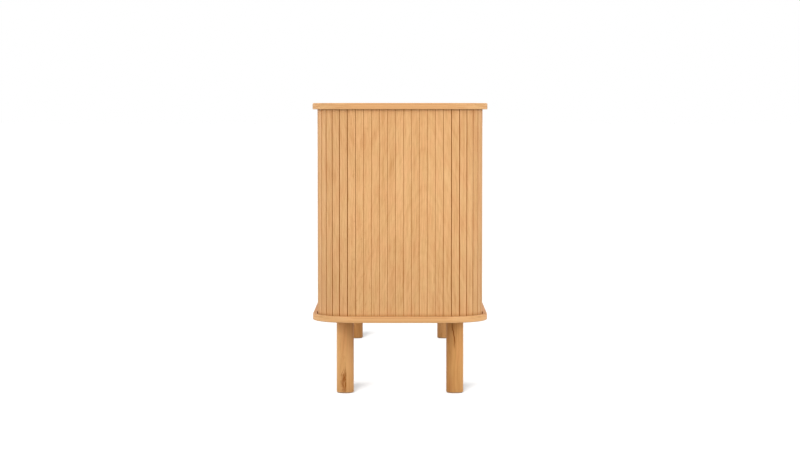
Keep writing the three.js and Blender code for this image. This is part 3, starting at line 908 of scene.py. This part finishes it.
def board(name, node, up, tracks):
    """A rounded board whose grooved face looks up for the base and down for the top."""
    low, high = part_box(node)
    level = high.z if up > 0 else low.z
    bm = bmesh.new()
    bmesh.ops.create_cube(bm, size=1, matrix=box_matrix(low, high))
    bevel(bm, [e for e in bm.edges if rise(e) > BOARD_EDGE], corner_radius, BEND_STEPS)
    rims = [e for e in bm.edges if rise(e) < FIT]
    grooved = [e for e in rims if abs(e.verts[0].co.z - level) < FIT]
    plain = [e for e in rims if e not in grooved]
    bevel(bm, plain, BOARD_EDGE, BOARD_EDGE_STEPS)
    bevel(bm, [e for e in grooved if e.is_valid], GROOVED_EDGE, BOARD_EDGE_STEPS)
    cut_grooves(bm, up, level, tracks)
    grain_map = bm.loops.layers.uv.new(GRAIN_MAP)
    for face in bm.faces:
        middle = face.calc_center_median()
        on_rim = edge_distance(middle) < BOARD_EDGE and abs(face.normal.z) < RIM_FACING
        sunk = not on_rim and FIT < (level - middle.z) * up < high.z - low.z - BOARD_EDGE
        face.material_index = BOARD_RIM if on_rim else BOARD_SUNK if sunk else BOARD_FACE
        for loop in face.loops:
            x, y, z = loop.vert.co
            loop[grain_map].uv = (z, rim_run(loop.vert.co)) if on_rim else (y + z, x)
    finishes = [board_oak, rim_oak, core]
    piece = new_piece(name, mesh_from(bm, name), "carcass", finishes, [node])
    smooth_by_angle(piece)


def inset(bm, face, thickness):
    """Draws an outline's inner parallel on a face, and gives the ring between the two."""
    made = bmesh.ops.inset_region(bm, faces=[face], thickness=thickness, use_even_offset=True)
    return made["faces"]


def cut_grooves(bm, up, level, tracks):
    """The ring that the slats stand in, the two door channels and the rails' slots."""
    face = max(bm.faces, key=lambda f: f.calc_area() * (f.normal.z * up > LEVEL_FACING))
    to_groove = overhang - GROOVE_OUTER_GAP - GROOVED_EDGE
    inset(bm, face, to_groove)
    ring = inset(bm, face, GROOVE_OUTER_GAP + face_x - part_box("right_end_panel")[1].x)
    rail = width_of("lower_outer_rail")
    reach = rail.x / 2 + FIT
    channels = []
    slots = []
    for door, track in tracks:
        door_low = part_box(door + "_door_slats")[0].y - CHANNEL_GAP
        door_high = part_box(door + "_door_core")[1].y + CHANNEL_GAP
        rail_low, rail_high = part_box(track)
        channels.append((door_low, door_high))
        slots.append((rail_low.y - FIT, rail_high.y + FIT))
    planes = [((x, 0, 0), (1, 0, 0)) for x in (-reach, reach)]
    planes += [((0, y, 0), (0, 1, 0)) for y in sorted(y for pair in channels + slots for y in pair)]
    inner = [face]
    for point, normal in planes:
        geometry = inner + [e for f in inner for e in f.edges] + [v for f in inner for v in f.verts]
        geometry = list(dict.fromkeys(geometry))
        made = bmesh.ops.bisect_plane(bm, geom=geometry, plane_co=point, plane_no=normal)["geom"]
        inner = faces_in(made)

    def within(face, spans):
        centre = face.calc_center_median()
        return abs(centre.x) < reach and any(a < centre.y < b for a, b in spans)

    grooved = [f for f in ring if f.is_valid] + [f for f in inner if within(f, channels)]
    sink(bm, grooved, -up * GROOVE_DEPTH)
    bottom = level - up * GROOVE_DEPTH
    flat = [f for f in bm.faces if abs(f.normal.z) > LEVEL_FACING]
    at_bottom = [f for f in flat if abs(f.calc_center_median().z - bottom) < FIT]
    sink(bm, [f for f in at_bottom if within(f, slots)], -up * (rail.z + FIT))


def sink(bm, faces, distance):
    """Pushes a region of faces in, with walls round it."""
    sunk = bmesh.ops.extrude_face_region(bm, geom=faces)["geom"]
    bmesh.ops.translate(bm, vec=(0, 0, distance), verts=verts_in(sunk))
    bmesh.ops.delete(bm, geom=faces, context="FACES")


# Legs

def leg(name, shade, eyes=(), cracks=()):
    """A turned leg. Eyes and cracks are given from the middle of the leg's outward face."""
    node = name + "_leg"
    low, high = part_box(node)
    centre = (low + high) / 2
    radius = (high.x - low.x) / 2
    bm = bmesh.new()
    bmesh.ops.create_cone(
        bm, cap_ends=True, segments=LEG_SIDES, radius1=radius, radius2=radius,
        depth=high.z - low.z, matrix=Matrix.Translation(centre),
    )
    bevel(bm, [e for e in bm.edges if rise(e) < FIT], LEG_EDGE, LEG_EDGE_STEPS)
    outer = high.x if centre.x > 0 else low.x
    eyes = [((outer, centre.y + y, z), *size) for y, z, *size in eyes]
    cracks = [((outer, centre.y + y, z), *size) for y, z, *size in cracks]
    oak = solid_oak(name + " leg oak", centre, shade, eyes, cracks, foot_reach=LEG_FOOT_REACH)
    piece_name = name + "_round_leg"
    piece = new_piece(piece_name, mesh_from(bm, piece_name), "carcass", [oak], [node])
    smooth_by_angle(piece)


def leg_bolt(name):
    """A flat-headed bolt with a six-sided socket, sunk into the base board."""
    node = name + "_leg_bolt"
    low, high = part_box(node)
    centre = (low + high) / 2
    head = (high.x - low.x) / 2
    under = high.z - BOLT_HEAD_THICKNESS
    bm = spun(
        [
            (SOCKET_RADIUS, high.z),
            (head - BOLT_EDGE, high.z),
            (head - BOLT_EDGE / 4, high.z - BOLT_EDGE / 4),
            (head, high.z - BOLT_EDGE),
            (head, under),
            (BOLT_SHANK_RADIUS, under),
            (BOLT_SHANK_RADIUS, low.z + BOLT_EDGE),
            (BOLT_SHANK_RADIUS - BOLT_EDGE, low.z),
            (0, low.z),
        ],
        BOLT_SIDES,
    )
    rim = [e for e in bm.edges if e.is_boundary]
    step = 2 * math.pi / SOCKET_SIDES
    for vert in {v for e in rim for v in e.verts}:
        turn = math.atan2(vert.co.y, vert.co.x) % step - step / 2
        vert.co.xy *= math.cos(step / 2) / math.cos(turn)
    wall = bmesh.ops.extrude_edge_only(bm, edges=rim)["geom"]
    bmesh.ops.translate(bm, vec=(0, 0, -SOCKET_DEPTH), verts=verts_in(wall))
    bmesh.ops.contextual_create(bm, geom=[e for e in edges_in(wall) if e.is_boundary])
    bmesh.ops.recalc_face_normals(bm, faces=bm.faces)
    bmesh.ops.translate(bm, vec=(centre.x, centre.y, 0), verts=bm.verts)
    piece_name = name + "_socket_bolt"
    piece = new_piece(piece_name, mesh_from(bm, piece_name), "carcass", [zinc], [node])
    smooth_by_angle(piece)


# Shelf pins

def shelf_pin(node, towards):
    """A turned pin whose collar rests on the board, and whose peg points towards one side."""
    low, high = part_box(node)
    centre = (low + high) / 2
    length = high.x - low.x
    collar = PIN_SHANK + FIT
    bm = spun(
        [
            (0, 0),
            (PIN_RADIUS - PIN_EDGE, 0),
            (PIN_RADIUS, PIN_EDGE),
            (PIN_RADIUS, collar),
            (PIN_FLANGE_RADIUS, collar),
            (PIN_FLANGE_RADIUS, collar + PIN_FLANGE_THICKNESS - PIN_EDGE),
            (PIN_FLANGE_RADIUS - PIN_EDGE, collar + PIN_FLANGE_THICKNESS),
            (PIN_RADIUS, collar + PIN_FLANGE_THICKNESS),
            (PIN_RADIUS, length - PIN_EDGE),
            (PIN_RADIUS - PIN_EDGE, length),
            (0, length),
        ],
        PIN_SIDES,
    )
    start = Matrix.Translation((low.x if towards > 0 else high.x, centre.y, centre.z))
    turned = start @ Matrix.Rotation(towards * math.pi / 2, 4, "Y")
    bmesh.ops.transform(bm, matrix=turned, verts=bm.verts)
    piece_name = node + "_turned"
    piece = new_piece(piece_name, mesh_from(bm, piece_name), "carcass", [nickel], [node])
    smooth_by_angle(piece)


# Boards with eased edges

def eased(node, body, material):
    """A copy of a CAD board with its sharp edges taken off, as a sanded board has."""
    bm = bmesh.new()
    bm.from_mesh(nodes[node].data)
    bmesh.ops.remove_doubles(bm, verts=bm.verts, dist=CAD_WELD)
    flat = math.radians(FLAT_TURN)
    bmesh.ops.dissolve_limit(bm, angle_limit=flat, verts=bm.verts, edges=bm.edges)
    piece_name = node + "_board"
    piece = new_piece(piece_name, mesh_from(bm, piece_name), body, [material], [node])
    soft = piece.modifiers.new("eased edges", "BEVEL")
    soft.width = PANEL_EDGE
    soft.segments = PANEL_EDGE_STEPS
    soft.limit_method = "ANGLE"
    soft.angle_limit = math.radians(PANEL_EDGE_TURN)
    smooth_by_angle(piece)


# Assembly

CORNERS = ("front_left", "front_right", "rear_left", "rear_right")
LIGHT_LEG = (1.02, 0.96, 0.85, 1)
DARK_LEG = (0.95, 0.85, 0.66, 1)

# A knot's eyes, each with its place across and up the leg, half its width and height, and its depth
BIG_KNOT = [
    (1.2 * MM, 31 * MM, 11 * MM, 30 * MM, 0.92),
    (1.2 * MM, 39 * MM, 6 * MM, 7 * MM, 1.0),
    (0.9 * MM, 68 * MM, 1.8 * MM, 14 * MM, 0.4),
]
SMALL_KNOT = [(5 * MM, 120 * MM, 2.6 * MM, 16 * MM, 0.4)]

# A crack's top across and up the leg, its lean, its length and its width
LONG_CRACK = [(-7.4 * MM, 192 * MM, 6.5 * MM, 76 * MM, 2.2 * MM)]
SHORT_CRACK = [(6 * MM, 96 * MM, -5 * MM, 48 * MM, 0.8 * MM)]

end_sheet("left", -1, 12)
end_sheet("right", 1, 11)
door_sheet("left", 22)
door_sheet("right", 21)
board("base_board", "base_slab", 1, [("left", "lower_outer_rail"), ("right", "lower_inner_rail")])
board("top_board", "top_slab", -1, [("left", "upper_outer_rail"), ("right", "upper_inner_rail")])

leg("front_right", LIGHT_LEG, eyes=BIG_KNOT)
leg("rear_right", DARK_LEG, cracks=LONG_CRACK)
leg("front_left", DARK_LEG, eyes=SMALL_KNOT)
leg("rear_left", LIGHT_LEG, cracks=SHORT_CRACK)
for corner in CORNERS:
    leg_bolt(corner)

for side_name, side in (("left", -1), ("right", 1)):
    for number in ("1", "2"):
        shelf_pin(side_name + "_shelf_pin_outer_" + number, -side)
        shelf_pin(side_name + "_shelf_pin_inner_" + number, side)
    eased(side_name + "_inner_side", "carcass", upright_oak)
    eased(side_name + "_shelf", "carcass", level_oak)
    eased(side_name + "_door_core", side_name + "_door", upright_oak)
    stile_middle = sum(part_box(side_name + "_door_stile"), Vector()) / 2
    stile_oak = solid_oak(side_name + " stile oak", stile_middle, PANEL_SHADE)
    eased(side_name + "_door_stile", side_name + "_door", stile_oak)
eased("centre_divider", "carcass", upright_oak)
eased("back_panel", "carcass", level_oak)

CAD_FINISHES = {
    "end_panel": bent_ply,
    "corner_form": bent_ply,
    "rail": aluminium,
    "foot_pad": pad_felt,
    "wheel": white_nylon,
    "carriage": black_nylon,
    "top_guide": black_nylon,
}

for node, shown in nodes.items():
    for family, material in CAD_FINISHES.items():
        if family in node:
            shown.data.materials.clear()
            shown.data.materials.append(material)


# Studio

def floor():
    """A plain floor that stays white to the camera, takes a soft shadow and is clear from below."""
    n = material_nodes("studio floor")
    shaded = n.add("BsdfDiffuse", {"Color": FLOOR_TONE}).outputs[0]
    glow = n.add("Emission", {"Color": WHITE, "Strength": FLOOR_GLOW}).outputs[0]
    white = n.add("AddShader", {0: shaded, 1: glow}).outputs[0]
    bounce = n.add("BsdfDiffuse", {"Color": FLOOR_BOUNCE}).outputs[0]
    upper = n.add("MixShader", {0: n.seen(), 1: bounce, 2: white}).outputs[0]
    clear = n.add("BsdfTransparent").outputs[0]
    below = n.add("NewGeometry").outputs["Backfacing"]
    mixed = n.add("MixShader", {0: below, 1: upper, 2: clear}).outputs[0]
    n.link(mixed, n.tree.nodes["Material Output"].inputs[0])
    bm = bmesh.new()
    bmesh.ops.create_grid(bm, x_segments=1, y_segments=1, size=FLOOR_REACH)
    plane = bpy.data.objects.new("studio_floor", mesh_from(bm, "studio_floor"))
    bpy.context.scene.collection.objects.link(plane)
    plane.data.materials.append(n.owner)
    return plane


def world():
    """White to the camera, and for the light a soft tent that is brightest at the horizon."""
    n = Nodes(bpy.data.worlds.new("studio"))
    bpy.context.scene.world = n.owner
    height = n.split(n.add("TexCoord").outputs["Generated"])[2]
    tent = n.remap(height, 0.0, 1.0, HORIZON_LIGHT, ZENITH_LIGHT)
    strength = n.add("Mix", {0: n.seen(), 2: tent, 3: 1.0}, data_type="FLOAT").outputs[0]
    background = n.tree.nodes["Background"]
    background.inputs["Color"].default_value = WHITE
    n.link(strength, background.inputs["Strength"])


def group(name, members):
    """A named set of objects for a light to work on, which is no part of the scene's own tree."""
    collection = bpy.data.collections.new(name)
    for member in members:
        collection.objects.link(member)
    return collection


def floor_sun(plane, legs):
    """A sun for the floor alone, which only the legs hold back: it draws their short soft shade."""
    light = bpy.data.lights.new("floor_sun", "SUN")
    light.energy = FLOOR_SUN
    light.angle = math.radians(FLOOR_SUN_WIDTH)
    light.cycles.max_bounces = 0
    holder = bpy.data.objects.new("floor_sun", light)
    bpy.context.scene.collection.objects.link(holder)
    holder.rotation_euler = (0, math.radians(FLOOR_SUN_TILT), math.radians(FLOOR_SUN_TURN))
    holder.light_linking.receiver_collection = group("lit by the floor sun", [plane])
    holder.light_linking.blocker_collection = group("shade from the floor sun", legs)


def lamp(name, place, target, size, power):
    """A soft box of a size in metres that faces a target."""
    light = bpy.data.lights.new(name, "AREA")
    light.shape = "RECTANGLE"
    light.size, light.size_y = size
    light.energy = power
    holder = bpy.data.objects.new(name, light)
    bpy.context.scene.collection.objects.link(holder)
    holder.location = place
    holder.rotation_euler = (target - Vector(place)).to_track_quat("-Z", "Y").to_euler()


def camera():
    """The photograph's camera, with its focal length worked out from pixels."""
    data = bpy.data.cameras.new("camera")
    data.sensor_width = SENSOR_WIDTH
    data.lens = FOCAL_PIXELS * SENSOR_WIDTH / IMAGE_WIDTH
    data.clip_end = CAMERA_REACH
    holder = bpy.data.objects.new("camera", data)
    bpy.context.scene.collection.objects.link(holder)
    holder.location = (base_high.x + CAMERA_DISTANCE, 0, CAMERA_HEIGHT)
    holder.rotation_euler = (math.pi / 2 - math.radians(CAMERA_TILT), 0, math.pi / 2)
    bpy.context.scene.camera = holder


ground = floor()
world()
floor_sun(ground, [bpy.data.objects[corner + "_round_leg"] for corner in CORNERS])
lamp("front_softbox", place=(4.3, -3.4, 1.6), target=NEAR_END, size=(2.4, 1.8), power=55)
lamp("fill_softbox", place=(3.8, 4.0, 1.6), target=NEAR_END, size=(2.4, 1.8), power=86)
lamp("side_softbox", place=(-1.0, -4.8, 2.6), target=LONG_FRONT, size=(3.2, 2.0), power=35)
camera()
bpy.context.scene.view_settings.view_transform = "Standard"
